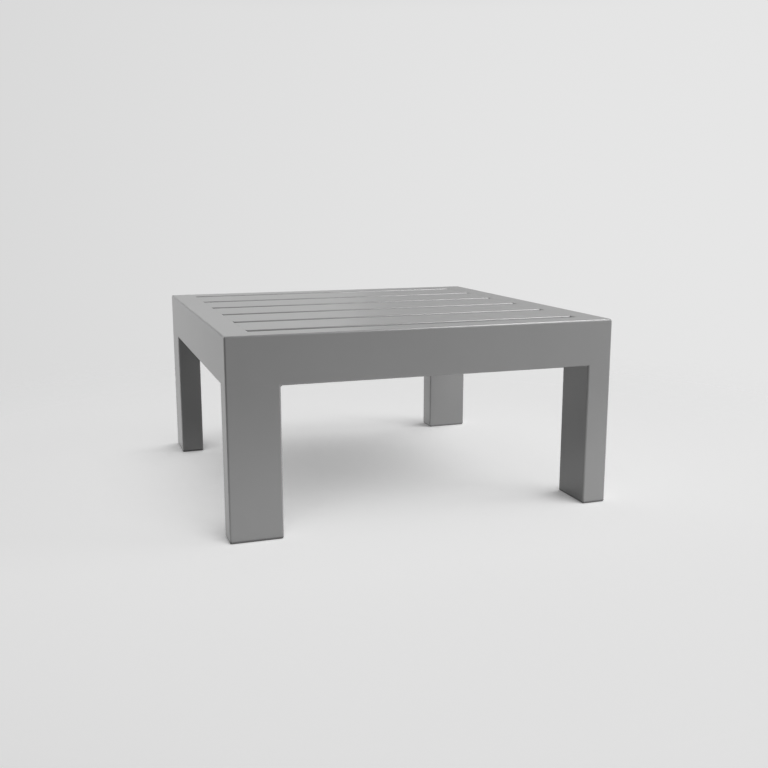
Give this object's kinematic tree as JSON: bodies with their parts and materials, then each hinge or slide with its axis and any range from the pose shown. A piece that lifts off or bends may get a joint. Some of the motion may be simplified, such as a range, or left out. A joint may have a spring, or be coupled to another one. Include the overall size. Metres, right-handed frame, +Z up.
{
  "type": "side table",
  "caption": "Low square side table of welded powder-coated aluminium: a slatted top in a mitred tube frame on flat rectangular legs turned like a pinwheel.",
  "frame": {"origin": "on the floor under the middle of the table", "axes": "+Z up, +X to the right along the slats, -Y towards the front"},
  "size_m": [0.64, 0.64, 0.313],
  "materials": {
    "powder_coated_aluminium": "satin",
    "foot_plastic": "matte"
  },
  "bodies": {
    "root": {"front_apron": "powder_coated_aluminium", "right_apron": "powder_coated_aluminium", "back_apron": "powder_coated_aluminium", "left_apron": "powder_coated_aluminium", "slat_1": "powder_coated_aluminium", "slat_2": "powder_coated_aluminium", "slat_3": "powder_coated_aluminium", "slat_4": "powder_coated_aluminium", "slat_5": "powder_coated_aluminium", "support_rail": "powder_coated_aluminium", "front_left_leg": "powder_coated_aluminium", "front_right_leg": "powder_coated_aluminium", "back_right_leg": "powder_coated_aluminium", "back_left_leg": "powder_coated_aluminium", "corner_welds": "powder_coated_aluminium", "leg_seam_welds": "powder_coated_aluminium", "leg_fillet_welds": "powder_coated_aluminium", "slat_seam_welds": "powder_coated_aluminium", "slat_fillet_welds": "powder_coated_aluminium", "rail_end_welds": "powder_coated_aluminium", "rail_stitch_welds": "powder_coated_aluminium", "front_left_foot_cap": "foot_plastic", "front_right_foot_cap": "foot_plastic", "back_right_foot_cap": "foot_plastic", "back_left_foot_cap": "foot_plastic"}
  },
  "joints": []
}
